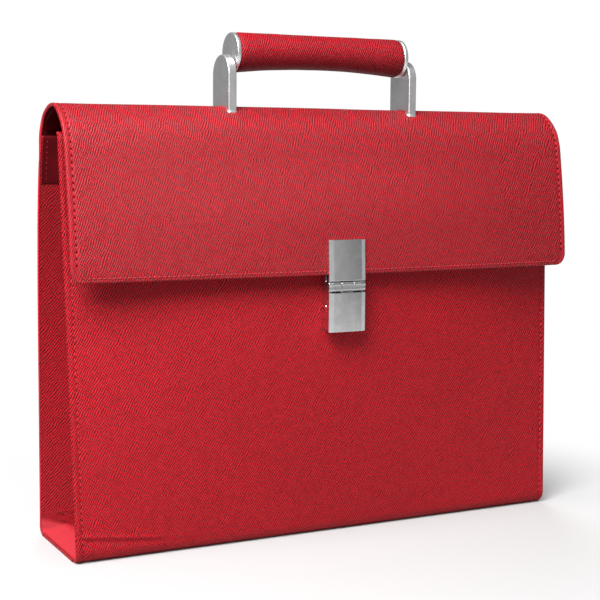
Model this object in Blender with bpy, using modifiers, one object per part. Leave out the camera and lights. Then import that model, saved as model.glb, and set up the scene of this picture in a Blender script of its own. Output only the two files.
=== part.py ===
"""Leather briefcase with a rigid top handle and a front lock, as an assembly of separate sub-parts.

Units: the sizes below are millimetres; everything is built in metres, +Z up, front towards -Y.
The base stands on Z = 0 and the whole object is centred on X = Y = 0.
"""
import math

import bmesh
import bpy
from mathutils import Matrix, Vector

# ------------------------------------------------------------------ driving sizes, mm
BODY_WIDTH_BOTTOM = 390.0
BODY_SPREAD = 10.4            # how much wider the body is at its top
BODY_DEPTH_BOTTOM = 87.6
PANEL_HEIGHT = 292.0
FRONT_LEAN = 15.8             # how far the front panel's side edges lean back at their top
BACK_LEAN = 31.1              # how far the back panel leans forward at the crown
FRONT_BELLY = 19.0            # how far the filled front panel swells in its middle
BACK_BELLY = 6.0
FRONT_EDGE_RADIUS = 9.0       # the front leather rolls under the base
BACK_EDGE_RADIUS = 6.0

CROWN_BASE_BELOW_PANEL = 1.0  # the back leather bends here when the flap opens
CROWN_RISE = 20.2
CROWN_SHAPE = 1.7             # exponent of the crown's section, 2 would be an ellipse
FLAP_OVERHANG = 0.9           # how far the flap stands out past the body on each side
FLAP_DROP = 98.0              # from the crown's base down to the flap's hem
FLAP_SPLAY = 11.3             # how far forward the hem stands of the crown's base
FLAP_BELLY = 8.4

GUSSET_FOLD = 20.0            # how deep the side gussets fold inwards
GUSSET_FOOT = 26.0            # the fold grows from nothing over this height above the base
STAY_HEIGHT = 34.0
STAY_LEATHER = 0.8

LEATHER = 2.2
GUSSET_LEATHER = 1.8
FLAP_LEATHER = 2.0
BOARD = 1.4
LINING = 0.9
FLAP_LINING = 1.2
CROWN_STIFFENER = 1.0
RAIL = 2.0
DIVIDER = 2.0
BASE_BOARD = 2.0
GAP = 0.3                     # clearance between neighbouring solids
LAYER_GAP = 0.4               # the same, between curved layers
PANEL_FACET = 26.0            # the bent leather is faceted at most this wide
LAYER_FACET = 42.0            # the same, for the boards and linings behind it

POST_SPACING = 147.6          # between the two posts' centre planes
POST_THICKNESS = 6.4
POST_WIDTH = 28.0
POST_TOP_ABOVE_CROWN = 36.3
COLLAR = 1.4
COLLAR_MARGIN = 1.3
PIVOT_BELOW_POST_TOP = 5.0
PIVOT_RADIUS = 2.0
PIVOT_CLEARANCE = 0.1
GRIP_ECCENTRICITY = 6.8       # the grip's centre line runs this far above its pivots
GRIP_RADIUS = 14.3
GRIP_WAIST = 3.6              # how far the grip's underside arches up
GRIP_SKIN = 2.0
CAP_RADIUS = 13.6
CAP_THICKNESS = 3.0
CAP_TO_POST = 0.8
WASHER_RADIUS = 4.2
WASHER = 0.5
POST_SCREW_RADIUS = 2.0

LOCK_WIDTH = 29.6
LOCK_TOP_ABOVE_HEM = 25.0
LOCK_KNUCKLE_BELOW_HEM = 8.5
LOCK_KNUCKLE_RADIUS = 3.7
LOCK_LEVER_HEIGHT = 28.0
LOCK_CROWN = 1.0              # how far the plates' middles stand out of their edges
LOCK_PLATE_EDGE = 1.0
LOCK_FACE_ABOVE_FLAP = 2.6
LOCK_LEAN = 1.2               # how far the upper plate leans back with the flap at its top
LOCK_PIN_RADIUS = 1.0
RECEIVER_WALL = 1.8
RECEIVER_CORNER = 3.5
CROSS_PIN_RADIUS = 1.1
CROSS_PIN_BELOW_KNUCKLE = 14.5
CROSS_PIN_BEHIND_KNUCKLE = 4.3
MAGNET_RADIUS = 4.5
MAGNET_AIR_GAP = 0.5
ARMATURE = 0.8
SCREW_RADIUS = 1.5

# ------------------------------------------------------------------ worked-out sizes
BODY_WIDTH_TOP = BODY_WIDTH_BOTTOM + BODY_SPREAD
FLAP_WIDTH = BODY_WIDTH_TOP + 2 * FLAP_OVERHANG
CROWN_BASE_Z = PANEL_HEIGHT - CROWN_BASE_BELOW_PANEL
HALF_DEPTH = BODY_DEPTH_BOTTOM / 2
BACK_TOP_Y = HALF_DEPTH - BACK_LEAN
CROWN_FRONT_OVERHANG = 16.2   # the flap hangs this far in front of the front panel's top
CROWN_FRONT_Y = -HALF_DEPTH + FRONT_LEAN - CROWN_FRONT_OVERHANG
CROWN_Y = (BACK_TOP_Y + CROWN_FRONT_Y) / 2
CROWN_HALF = (BACK_TOP_Y - CROWN_FRONT_Y) / 2
CROWN_TOP_Z = CROWN_BASE_Z + CROWN_RISE
HEM_Z = CROWN_BASE_Z - FLAP_DROP
HEM_MIDDLE_Y = CROWN_FRONT_Y - FLAP_SPLAY - FLAP_BELLY

BOARD_IN = LEATHER + LAYER_GAP
LINING_IN = BOARD_IN + BOARD + LAYER_GAP
INNER_FACE = LINING_IN + LINING
FLAP_LINING_IN = FLAP_LEATHER + LAYER_GAP
STIFFENER_IN = FLAP_LINING_IN + FLAP_LINING + LAYER_GAP
RAIL_IN = STIFFENER_IN + CROWN_STIFFENER + LAYER_GAP
FLAP_INNER = FLAP_LINING_IN + FLAP_LINING

POST_TOP_Z = CROWN_TOP_Z + POST_TOP_ABOVE_CROWN
PIVOT_Z = POST_TOP_Z - PIVOT_BELOW_POST_TOP
GRIP_Z = PIVOT_Z + GRIP_ECCENTRICITY
POST_INNER_X = (POST_SPACING - POST_THICKNESS) / 2
CAP_OUTER_X = POST_INNER_X - CAP_TO_POST
GRIP_HALF = CAP_OUTER_X - CAP_THICKNESS - GAP

KNUCKLE_Z = HEM_Z - LOCK_KNUCKLE_BELOW_HEM
LOCK_FACE_Y = HEM_MIDDLE_Y - LOCK_FACE_ABOVE_FLAP
KNUCKLE_Y = LOCK_FACE_Y + LOCK_KNUCKLE_RADIUS
LEVER_TOP_Z = KNUCKLE_Z - LOCK_KNUCKLE_RADIUS - 2 * GAP
LEVER_BOTTOM_Z = LEVER_TOP_Z - LOCK_LEVER_HEIGHT
PLATE_BACK_Y = LOCK_FACE_Y + LOCK_CROWN + LOCK_PLATE_EDGE
CROSS_PIN = (KNUCKLE_Y + CROSS_PIN_BEHIND_KNUCKLE, KNUCKLE_Z - CROSS_PIN_BELOW_KNUCKLE)

# The front-most point is the lock and the rear-most the base's back edge: centre between them.
SHIFT_Y = -(LOCK_FACE_Y + HALF_DEPTH) / 2

MATERIALS = {
    "leather": ((0.62, 0.045, 0.065, 1), 0.42, 0.0),
    "gusset_leather": ((0.50, 0.03, 0.045, 1), 0.45, 0.0),
    "lining": ((0.09, 0.012, 0.016, 1), 0.75, 0.0),
    "board": ((0.42, 0.32, 0.22, 1), 0.9, 0.0),
    "steel": ((0.62, 0.62, 0.63, 1), 0.25, 1.0),
    "dark_steel": ((0.28, 0.28, 0.30, 1), 0.4, 1.0),
    "washer": ((0.02, 0.02, 0.02, 1), 0.6, 0.0),
    "core": ((0.35, 0.22, 0.12, 1), 0.7, 0.0),
}


# ------------------------------------------------------------------ helpers
def metres(x, y, z):
    """A point in metres from sizes in millimetres, with Y measured from the base's middle."""
    return Vector((x, y + SHIFT_Y, z)) / 1000


def new_collection(name):
    collection = bpy.data.collections.new(name)
    bpy.context.scene.collection.children.link(collection)
    return collection


def node_material(name, kind):
    """One Principled material per node, so every node can be recoloured by itself."""
    colour, roughness, metallic = MATERIALS[kind]
    material = bpy.data.materials.new(name)
    material.use_nodes = True
    shader = material.node_tree.nodes["Principled BSDF"]
    shader.inputs["Base Color"].default_value = colour
    shader.inputs["Roughness"].default_value = roughness
    shader.inputs["Metallic"].default_value = metallic
    material.diffuse_color = colour
    return material


def add_object(name, mesh, kind, origin=None):
    """Link a mesh that is in world metres; its origin moves to a joint's axis when one is given."""
    obj = bpy.data.objects.new(name, mesh)
    PARTS.objects.link(obj)
    if origin is not None:
        mesh.transform(Matrix.Translation(-origin))
        obj.location = origin
    mesh.materials.append(node_material(name, kind))
    return obj


def mesh_from(bm, name):
    bmesh.ops.recalc_face_normals(bm, faces=bm.faces)
    mesh = bpy.data.meshes.new(name)
    bm.to_mesh(mesh)
    bm.free()
    return mesh


def sheet(name, surface, columns, rows, thickness, kind, origin=None):
    """A bent sheet: surface(u, v) gives its outer face for u from -1 to 1 and v from 0 to 1.

    Its thickness grows away from the side that u crossed with v points to.
    """
    bm = bmesh.new()
    bmesh.ops.create_grid(bm, x_segments=columns, y_segments=rows, size=1.0)
    for vert in bm.verts:
        vert.co = metres(*surface(vert.co.x, (vert.co.y + 1) / 2))
    mesh = bpy.data.meshes.new(name)
    bm.to_mesh(mesh)
    bm.free()
    obj = add_object(name, mesh, kind, origin)
    solid = obj.modifiers.new("thickness", "SOLIDIFY")
    solid.thickness = thickness / 1000
    solid.offset = -1
    solid.use_even_offset = True
    return obj


def block(name, low, high, kind, origin=None, bevel=0.0):
    """A box between two corners."""
    bm = bmesh.new()
    bmesh.ops.create_cube(bm, size=1.0)
    for vert in bm.verts:
        share = vert.co + Vector((0.5, 0.5, 0.5))
        vert.co = metres(*(lo + (hi - lo) * s for lo, hi, s in zip(low, high, share)))
    obj = add_object(name, mesh_from(bm, name), kind, origin)
    if bevel:
        add_bevel(obj, bevel)
    return obj


def prism(name, outline, x_low, x_high, kind, origin=None, bevel=0.0):
    """An outline of (y, z) points, pushed along X."""
    bm = bmesh.new()
    face = bm.faces.new([bm.verts.new(metres(x_low, y, z)) for y, z in outline])
    pushed = bmesh.ops.extrude_face_region(bm, geom=[face])["geom"]
    verts = [item for item in pushed if isinstance(item, bmesh.types.BMVert)]
    bmesh.ops.translate(bm, verts=verts, vec=Vector(((x_high - x_low) / 1000, 0, 0)))
    obj = add_object(name, mesh_from(bm, name), kind, origin)
    if bevel:
        add_bevel(obj, bevel)
    return obj


def rod(name, start, end, radius, kind, origin=None, segments=32, bevel=0.0):
    """A cylinder between two points."""
    a, b = metres(*start), metres(*end)
    bm = bmesh.new()
    bmesh.ops.create_cone(bm, cap_ends=True, segments=segments, radius1=radius / 1000,
                          radius2=radius / 1000, depth=(b - a).length)
    turn = (b - a).to_track_quat("Z", "Y").to_matrix().to_4x4()
    bmesh.ops.transform(bm, verts=bm.verts, matrix=Matrix.Translation((a + b) / 2) @ turn)
    obj = add_object(name, mesh_from(bm, name), kind, origin)
    if bevel:
        add_bevel(obj, bevel)
    return obj


def add_bevel(obj, width, segments=2):
    bevel = obj.modifiers.new("edges", "BEVEL")
    bevel.width = width / 1000
    bevel.segments = segments
    bevel.limit_method = "ANGLE"
    bevel.angle_limit = math.radians(40)
    return bevel


def helper(obj):
    """Move an object to the helpers' collection, where it only cuts or joins."""
    PARTS.objects.unlink(obj)
    HELPERS.objects.link(obj)
    obj.hide_render = True
    obj.display_type = "WIRE"
    return obj


def combine(obj, tool, operation):
    modifier = obj.modifiers.new(operation.lower(), "BOOLEAN")
    modifier.operation = operation
    modifier.solver = "EXACT"
    modifier.object = helper(tool)


def drill(obj, start, end, radius):
    """Cut a round hole between two points."""
    count = len(HELPERS.objects)
    combine(obj, rod(f"cut_{count:02d}", start, end, radius, "steel"), "DIFFERENCE")


def arc(centre, radius, start, end, steps):
    """Points on an arc; the angles are in degrees from +Y towards +Z."""
    angles = (math.radians(start + (end - start) * i / steps) for i in range(steps + 1))
    return [(centre[0] + radius * math.cos(a), centre[1] + radius * math.sin(a)) for a in angles]


# ------------------------------------------------------------------ the leather's surfaces
def half_width(z):
    growth = (BODY_WIDTH_TOP - BODY_WIDTH_BOTTOM) / 2
    return BODY_WIDTH_BOTTOM / 2 + growth * z / PANEL_HEIGHT


def front_y(x, z):
    """Depth of the front panel's face: leaning back, with a belly that starts above the rolled edge."""
    rise = max(z - FRONT_EDGE_RADIUS, 0.0) / (PANEL_HEIGHT - FRONT_EDGE_RADIUS)
    across = max(1 - (x / half_width(z)) ** 2, 0.0)
    return -HALF_DEPTH + FRONT_LEAN * rise - FRONT_BELLY * across * math.sin(0.86 * math.pi * rise)


def front_reach(half, low, high):
    """The rear-most depth of the front panel's face inside a window."""
    return max(front_y(x, z) for x in (0, half) for z in (low, (low + high) / 2, high))


def back_y(x, z):
    share = z / CROWN_BASE_Z
    across = max(1 - (x / half_width(z)) ** 2, 0.0)
    belly = BACK_BELLY * across * math.sin(math.pi * min(share, 1.0))
    return HALF_DEPTH - BACK_LEAN * (0.65 * share + 0.35 * share ** 7) + belly


def crown_z(y, inset=0.0):
    """Height of the crown's section at a depth."""
    share = min(abs(y - CROWN_Y) / (CROWN_HALF - inset), 1.0)
    return CROWN_BASE_Z + (CROWN_RISE - inset) * (1 - share ** CROWN_SHAPE) ** (1 / CROWN_SHAPE)


def crown_point(angle, inset=0.0):
    """A point of the crown's section: angle 0 is its back, 90 the crest and 180 its front."""
    power = 2 / CROWN_SHAPE
    c, s = math.cos(math.radians(angle)), math.sin(math.radians(angle))
    y = CROWN_Y + (CROWN_HALF - inset) * math.copysign(abs(c) ** power, c)
    return y, CROWN_BASE_Z + (CROWN_RISE - inset) * abs(s) ** power


def flap_front_y(x, z, inset=0.0):
    """Depth of the flap's face below the crown."""
    fall = min((CROWN_BASE_Z - z) / FLAP_DROP, 1.0)
    across = 1 - (2 * x / FLAP_WIDTH) ** 2
    belly = FLAP_BELLY * across * math.sin(math.pi / 2 * min(fall / 0.65, 1.0)) ** 2
    return CROWN_FRONT_Y + inset - FLAP_SPLAY * (1 - (1 - fall) ** 1.5) - belly


def slant(depth_at, x, z):
    """How much further apart two layers of a panel lie along Y than straight across them."""
    step = 1.0
    return math.hypot(1, (depth_at(x, z + step) - depth_at(x, z - step)) / (2 * step))


def panel_surface(depth_at, radius, side, inset, low, high, half, rolled):
    """Outer face of a front or back panel layer; side is -1 for the front and 1 for the back."""
    def surface(u, v):
        arc_share = 0.28 if rolled else 0.0
        if v < arc_share:
            angle = math.pi / 2 * v / arc_share
            y = side * (HALF_DEPTH - radius + radius * math.sin(angle))
            z = radius * (1 - math.cos(angle))
        else:
            bottom = radius if rolled else low
            z = bottom + (high - bottom) * (v - arc_share) / (1 - arc_share)
            y = None
        x = -side * u * half(z)
        if y is None:
            y = depth_at(x, z) - side * inset * slant(depth_at, x, z)
        return x, y, z
    return surface


# ------------------------------------------------------------------ the case
def build_case():
    edge = 12.0   # inner layers stop this far from the panels' side edges, clear of the gussets

    def inner_half(z):
        return half_width(z) - edge

    columns = math.ceil(BODY_WIDTH_TOP / PANEL_FACET)
    sheet("front_panel", panel_surface(front_y, FRONT_EDGE_RADIUS, -1, 0, 0, PANEL_HEIGHT,
                                       half_width, True), columns, 16, LEATHER, "leather")
    sheet("back_panel", panel_surface(back_y, BACK_EDGE_RADIUS, 1, 0, 0, CROWN_BASE_Z - GAP,
                                      half_width, True), columns, 16, LEATHER, "leather")
    columns = math.ceil(BODY_WIDTH_TOP / LAYER_FACET)
    low, high = FRONT_EDGE_RADIUS + 6, PANEL_HEIGHT - 6
    sheet("front_board", panel_surface(front_y, 0, -1, BOARD_IN, low, high, inner_half, False),
          columns, 12, BOARD, "board")
    sheet("back_board", panel_surface(back_y, 0, 1, BOARD_IN, low, high, inner_half, False),
          columns, 12, BOARD, "board")
    high = CROWN_BASE_Z - 2
    sheet("front_lining", panel_surface(front_y, 0, -1, LINING_IN, low, high, inner_half, False),
          columns, 12, LINING, "lining")
    sheet("back_lining", panel_surface(back_y, 0, 1, LINING_IN, low, high, inner_half, False),
          columns, 12, LINING, "lining")
    build_base(inner_half)
    build_divider()
    build_pocket()
    for side, label in ((-1, "left"), (1, "right")):
        build_gusset(side, label)


def build_base(inner_half):
    half = BODY_WIDTH_BOTTOM / 2
    front = -HALF_DEPTH + FRONT_EDGE_RADIUS + 0.8
    back = HALF_DEPTH - BACK_EDGE_RADIUS - 0.8
    block("bottom_panel", (-half, front, 0), (half, back, LEATHER), "leather")
    inner = inner_half(0)
    board_z = LEATHER + LAYER_GAP
    block("bottom_board", (-inner, front + 1, board_z), (inner, back - 1, board_z + BASE_BOARD), "board")
    lining_z = board_z + BASE_BOARD + LAYER_GAP
    block("bottom_lining", (-inner, front + 1, lining_z), (inner, back - 1, lining_z + LINING), "lining")


def divider_y(z):
    top = (front_y(half_width(PANEL_HEIGHT), PANEL_HEIGHT) + BACK_TOP_Y) / 2
    return top * z / PANEL_HEIGHT


def build_divider():
    low = LEATHER + BASE_BOARD + LINING + 2 * LAYER_GAP + 2
    high = PANEL_HEIGHT - 16

    def surface(u, v):
        z = low + (high - low) * v
        return u * (half_width(z) - GUSSET_FOLD - 8), divider_y(z) - DIVIDER / 2, z
    sheet("divider", surface, 2, 2, DIVIDER, "lining")


POCKET_HALF = 120.0
POCKET_LOW = 70.0
POCKET_HIGH = 225.0
POCKET_ROOM = 9.0             # how far the pocket's front stands off the lining


def build_pocket():
    def surface(u, v):
        x = u * POCKET_HALF
        z = POCKET_LOW + (POCKET_HIGH - POCKET_LOW) * v
        rise = min((1 - abs(u)) / 0.1, 1.0, v / 0.12)
        stand = LAYER_GAP + POCKET_ROOM * math.sin(math.pi / 2 * rise)
        return x, back_y(x, z) - (INNER_FACE + stand + LINING) * slant(back_y, x, z), z
    sheet("inner_pocket", surface, 14, 8, LINING, "lining")


def rolled_y(z, radius):
    """Inner face of a rolled edge at a height, measured from the base's middle."""
    inner = radius - LEATHER
    drop = max(radius - z, 0.0)
    return HALF_DEPTH - radius + math.sqrt(max(inner ** 2 - drop ** 2, 0.0))


def gusset_ends(z):
    """Where a gusset meets the inner faces of the front and back panels at a height.

    Its thickness spreads the slanting edges apart, so they start that much further in.
    """
    x = half_width(z)
    spread = LAYER_GAP + 0.8 * GUSSET_LEATHER
    front, back = front_y(x, z) + LEATHER, back_y(x, z) - LEATHER
    if z < FRONT_EDGE_RADIUS:
        front = -rolled_y(z, FRONT_EDGE_RADIUS)
    if z < BACK_EDGE_RADIUS:
        back = rolled_y(z, BACK_EDGE_RADIUS)
    return front + spread, back - spread


def gusset_surface(side, low, high, share, inset):
    """The gusset folds inwards between the two panels, and its fold fades out at the base."""
    foot = min(GUSSET_FOOT / (high - low), 1.0) if low < GUSSET_FOOT else 0.0

    def surface(u, v):
        z = low + (high - low) * v
        if foot:
            z = low + GUSSET_FOOT * v / 0.25 if v < 0.25 else low + GUSSET_FOOT + (
                high - low - GUSSET_FOOT) * (v - 0.25) / 0.75
        front, back = gusset_ends(z)
        y = (front + back) / 2 + side * u * share * (back - front) / 2
        across = abs(2 * (y - front) / (back - front) - 1)
        fold = GUSSET_FOLD * min(z / GUSSET_FOOT, 1.0) * (1 - across ** 1.15)
        return side * (half_width(z) - 1.0 - fold - inset), y, z
    return surface


def build_gusset(side, label):
    low, top = LEATHER + GUSSET_LEATHER + 2 * GAP, CROWN_BASE_Z - 2
    sheet(f"{label}_gusset", gusset_surface(side, low, top, 1.0, 0), 12, 12, GUSSET_LEATHER, "gusset_leather")
    inset = -STAY_LEATHER - 2 * LAYER_GAP
    sheet(f"{label}_gusset_stay", gusset_surface(side, top - STAY_HEIGHT, top - 0.5, 0.86, inset),
          12, 1, STAY_LEATHER, "gusset_leather")


# ------------------------------------------------------------------ the flap and the crown
def flap_surface(inset, back_angle, front_angle, hem, half, crown_share):
    """A layer over the crown, and down the front as far as the hem when there is one."""
    def surface(u, v):
        x = -u * half
        if v <= crown_share:
            angle = back_angle + (front_angle - back_angle) * v / crown_share
            y, z = crown_point(angle, inset)
            return x, y, z
        z = CROWN_BASE_Z - (CROWN_BASE_Z - hem) * (v - crown_share) / (1 - crown_share)
        return x, flap_front_y(x, z, inset), z
    return surface


def build_flap(axis):
    half = FLAP_WIDTH / 2
    start = 3.0    # degrees; leaves the leather clear of the back panel's top edge
    outer = sheet("flap_leather", flap_surface(0, start, 180, HEM_Z, half, 0.52),
                  16, 23, FLAP_LEATHER, "leather", axis)
    lining = sheet("flap_lining", flap_surface(FLAP_LINING_IN, start + 3, 180, HEM_Z, half, 0.52),
                   12, 23, FLAP_LINING, "lining", axis)
    stiffener = sheet("crown_stiffener", flap_surface(STIFFENER_IN, 14, 142, HEM_Z, half - 3, 1.0),
                      2, 12, CROWN_STIFFENER, "board", axis)
    rail_half = POST_SPACING / 2 + 14
    rail = sheet("handle_rail", flap_surface(RAIL_IN, 62, 118, HEM_Z, rail_half, 1.0),
                 2, 8, RAIL, "dark_steel", axis)
    for side in (-1, 1):
        x = side * POST_SPACING / 2
        for layer in (outer, lining, stiffener, rail):
            drill(layer, (x, CROWN_Y, CROWN_TOP_Z - 15), (x, CROWN_Y, CROWN_TOP_Z + 5),
                  POST_SCREW_RADIUS + 0.15)
    for z in lock_screw_heights():
        for layer in (outer, lining):
            drill(layer, (0, HEM_MIDDLE_Y - 4, z), (0, HEM_MIDDLE_Y + 8, z), SCREW_RADIUS + 0.15)


def build_post(side, label, axis):
    """A flat bar with a round top and a foot that follows the crown, on its saddle collar."""
    inner = POST_INNER_X
    outer = inner + POST_THICKNESS
    x_low, x_high = sorted((side * inner, side * outer))
    half = POST_WIDTH / 2
    centre = (CROWN_Y, POST_TOP_Z - half)
    steps = 12
    foot = [(CROWN_Y - half + POST_WIDTH * i / steps) for i in range(steps + 1)]
    base = COLLAR + 2 * GAP
    outline = arc(centre, half, 0, 180, 24) + [(y, crown_z(y) + base) for y in foot]
    post = prism(f"{label}_post", outline, x_low, x_high, "steel", axis, bevel=0.7)
    bore_end = side * (inner + POST_THICKNESS - 2.0)
    drill(post, (side * (inner - 1), CROWN_Y, PIVOT_Z), (bore_end, CROWN_Y, PIVOT_Z),
          PIVOT_RADIUS + PIVOT_CLEARANCE)
    x = side * POST_SPACING / 2
    drill(post, (x, CROWN_Y, CROWN_TOP_Z - 2), (x, CROWN_Y, CROWN_TOP_Z + 13), POST_SCREW_RADIUS + 0.1)

    reach = half + COLLAR_MARGIN
    lip = [(CROWN_Y - reach + 2 * reach * i / steps) for i in range(steps + 1)]
    under = [(y, crown_z(y) + GAP) for y in lip]
    over = [(y, crown_z(y) + GAP + COLLAR) for y in reversed(lip)]
    collar = prism(f"{label}_post_collar", under + over, x_low - COLLAR_MARGIN, x_high + COLLAR_MARGIN,
                   "steel", axis, bevel=0.5)
    drill(collar, (x, CROWN_Y, CROWN_TOP_Z - 2), (x, CROWN_Y, CROWN_TOP_Z + 6), POST_SCREW_RADIUS + 0.15)

    head_top = CROWN_TOP_Z - RAIL_IN - RAIL - 0.9
    screw = rod(f"{label}_post_screw", (x, CROWN_Y, head_top - 1), (x, CROWN_Y, CROWN_TOP_Z + 12),
                POST_SCREW_RADIUS, "dark_steel", axis)
    combine(screw, rod(f"{label}_post_screw_head", (x, CROWN_Y, head_top - 2.4), (x, CROWN_Y, head_top),
                       4.0, "dark_steel"), "UNION")


# ------------------------------------------------------------------ the handle
def grip_shape(x, angle, inset):
    """A point of the grip's skin: straight on top, waisted below."""
    share = max(1 - (x / GRIP_HALF) ** 2, 0.0)
    up = GRIP_RADIUS - inset
    down = up - GRIP_WAIST * share
    across = GRIP_RADIUS - inset - 0.3 * GRIP_WAIST * share
    c, s = math.cos(angle), math.sin(angle)
    return CROWN_Y + across * c, GRIP_Z + (up + down) / 2 * s + (up - down) / 2


def grip_body(name, inset, length_cut, wall, kind, axis):
    """The grip's tube or its core, as a cylinder shaped ring by ring."""
    segments, rings = 28, 8
    half = GRIP_HALF - length_cut
    bm = bmesh.new()
    bmesh.ops.create_cone(bm, cap_ends=not wall, segments=segments, radius1=1, radius2=1, depth=2)
    along = [edge for edge in bm.edges if abs(edge.verts[0].co.z - edge.verts[1].co.z) > 1]
    bmesh.ops.subdivide_edges(bm, edges=along, cuts=rings - 1)
    for vert in bm.verts:
        x = vert.co.z * half
        y, z = grip_shape(x, math.atan2(vert.co.y, vert.co.x), inset)
        vert.co = metres(x, y, z)
    obj = add_object(name, mesh_from(bm, name), kind, axis)
    if wall:
        solid = obj.modifiers.new("thickness", "SOLIDIFY")
        solid.thickness = wall / 1000
        solid.offset = -1
        solid.use_even_offset = True
    return obj


def build_handle(axis):
    grip_body("grip_leather", 0, 0, GRIP_SKIN, "leather", axis)
    core = grip_body("grip_core", GRIP_SKIN + LAYER_GAP, GAP, 0, "core", axis)
    for side, label in ((-1, "left"), (1, "right")):
        pin_in, pin_out = side * (GRIP_HALF - 8), side * (POST_INNER_X + POST_THICKNESS - 2.3)
        drill(core, (side * (GRIP_HALF - 8.5), CROWN_Y, PIVOT_Z), (side * (GRIP_HALF + 1), CROWN_Y, PIVOT_Z),
              PIVOT_RADIUS + PIVOT_CLEARANCE)
        cap_in = side * (CAP_OUTER_X - CAP_THICKNESS)
        cap = rod(f"{label}_end_cap", (cap_in, CROWN_Y, GRIP_Z), (side * CAP_OUTER_X, CROWN_Y, GRIP_Z),
                  CAP_RADIUS, "steel", axis, segments=56, bevel=0.7)
        drill(cap, (side * (GRIP_HALF - 1), CROWN_Y, PIVOT_Z), (side * POST_INNER_X, CROWN_Y, PIVOT_Z),
              PIVOT_RADIUS + PIVOT_CLEARANCE)
        rod(f"{label}_pivot_pin", (pin_in, CROWN_Y, PIVOT_Z), (pin_out, CROWN_Y, PIVOT_Z),
            PIVOT_RADIUS, "dark_steel", axis)
        low = side * (CAP_OUTER_X + (CAP_TO_POST - WASHER) / 2)
        washer = rod(f"{label}_friction_washer", (low, CROWN_Y, PIVOT_Z),
                     (low + side * WASHER, CROWN_Y, PIVOT_Z), WASHER_RADIUS, "washer", axis)
        drill(washer, (low - 2, CROWN_Y, PIVOT_Z), (low + 2, CROWN_Y, PIVOT_Z),
              PIVOT_RADIUS + PIVOT_CLEARANCE)


# ------------------------------------------------------------------ the lock
def lock_screw_heights():
    return HEM_Z + 7.5, HEM_Z + 18.5


def receiver_screw_heights():
    return CROSS_PIN[1] - 8.5, CROSS_PIN[1] + 8.5


def lock_plate(name, low, high, lean, back_at, kind, axis):
    """A plate whose face is crowned across its width; back_at(z) is its rear face."""
    bm = bmesh.new()
    bmesh.ops.create_cube(bm, size=2.0)
    across = [edge for edge in bm.edges if abs(edge.verts[0].co.x - edge.verts[1].co.x) > 1]
    bmesh.ops.subdivide_edges(bm, edges=across, cuts=11, use_grid_fill=True)
    for vert in bm.verts:
        share, rise = vert.co.x, (vert.co.z + 1) / 2
        z = low + (high - low) * rise
        face = LOCK_FACE_Y + LOCK_CROWN * share ** 2 + lean * rise
        y = face if vert.co.y < 0 else back_at(z)
        vert.co = metres(share * LOCK_WIDTH / 2, y, z)
    obj = add_object(name, mesh_from(bm, name), kind, axis)
    add_bevel(obj, 0.3)
    return obj


def add_knuckle(plate, x_low, x_high, web_low, web_high):
    """Join a hinge knuckle and its web to a plate."""
    name = f"knuckle_{len(HELPERS.objects):02d}"
    web = block(f"{name}_web", (x_low, PLATE_BACK_Y - 0.8, web_low),
                (x_high, KNUCKLE_Y + 1.0, web_high), "steel")
    combine(plate, web, "UNION")
    barrel = rod(name, (x_low, KNUCKLE_Y, KNUCKLE_Z), (x_high, KNUCKLE_Y, KNUCKLE_Z),
                 LOCK_KNUCKLE_RADIUS, "steel", segments=40)
    combine(plate, barrel, "UNION")


def build_lock_on_flap(axis):
    top = HEM_Z + LOCK_TOP_ABOVE_HEM
    low = KNUCKLE_Z + LOCK_KNUCKLE_RADIUS + 2 * GAP

    def back_at(z):
        return flap_front_y(0, max(z, HEM_Z)) - 2 * GAP
    plate = lock_plate("lock_upper_plate", low, top, LOCK_LEAN, back_at, "steel", axis)
    for side in (-1, 1):
        x_low, x_high = sorted((side * (LOCK_WIDTH / 6 + GAP / 2), side * LOCK_WIDTH / 2))
        add_knuckle(plate, x_low, x_high, KNUCKLE_Z + 1.5, low + 1.5)
    bore = LOCK_PIN_RADIUS + 0.08
    drill(plate, (-LOCK_WIDTH, KNUCKLE_Y, KNUCKLE_Z), (LOCK_WIDTH, KNUCKLE_Y, KNUCKLE_Z), bore)
    half = LOCK_WIDTH / 2 - 0.4
    rod("lock_hinge_pin", (-half, KNUCKLE_Y, KNUCKLE_Z), (half, KNUCKLE_Y, KNUCKLE_Z),
        LOCK_PIN_RADIUS, "dark_steel", axis)

    inner = flap_front_y(0, HEM_Z, FLAP_INNER) + 2 * GAP
    lean = flap_front_y(0, top, FLAP_INNER) - flap_front_y(0, HEM_Z, FLAP_INNER)
    outline = [(inner, HEM_Z + 3), (inner + lean, top), (inner + lean + 1.2, top), (inner + 1.2, HEM_Z + 3)]
    backplate = prism("lock_backplate", outline, -11, 11, "dark_steel", axis)
    for number, z in enumerate(lock_screw_heights(), 1):
        head = inner + lean + 1.2 + GAP
        screw_start = LOCK_FACE_Y + LOCK_CROWN
        drill(backplate, (0, inner - 5, z), (0, inner + 9, z), SCREW_RADIUS + 0.15)
        drill(plate, (0, screw_start - 0.1, z), (0, screw_start + 5, z), SCREW_RADIUS + 0.1)
        screw = rod(f"lock_screw_{number}", (0, screw_start + 0.1, z), (0, head + 0.5, z), SCREW_RADIUS,
                    "dark_steel", axis, segments=24)
        combine(screw, rod(f"lock_screw_{number}_head", (0, head, z), (0, head + 1.2, z), 2.8, "dark_steel",
                           segments=24), "UNION")


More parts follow.
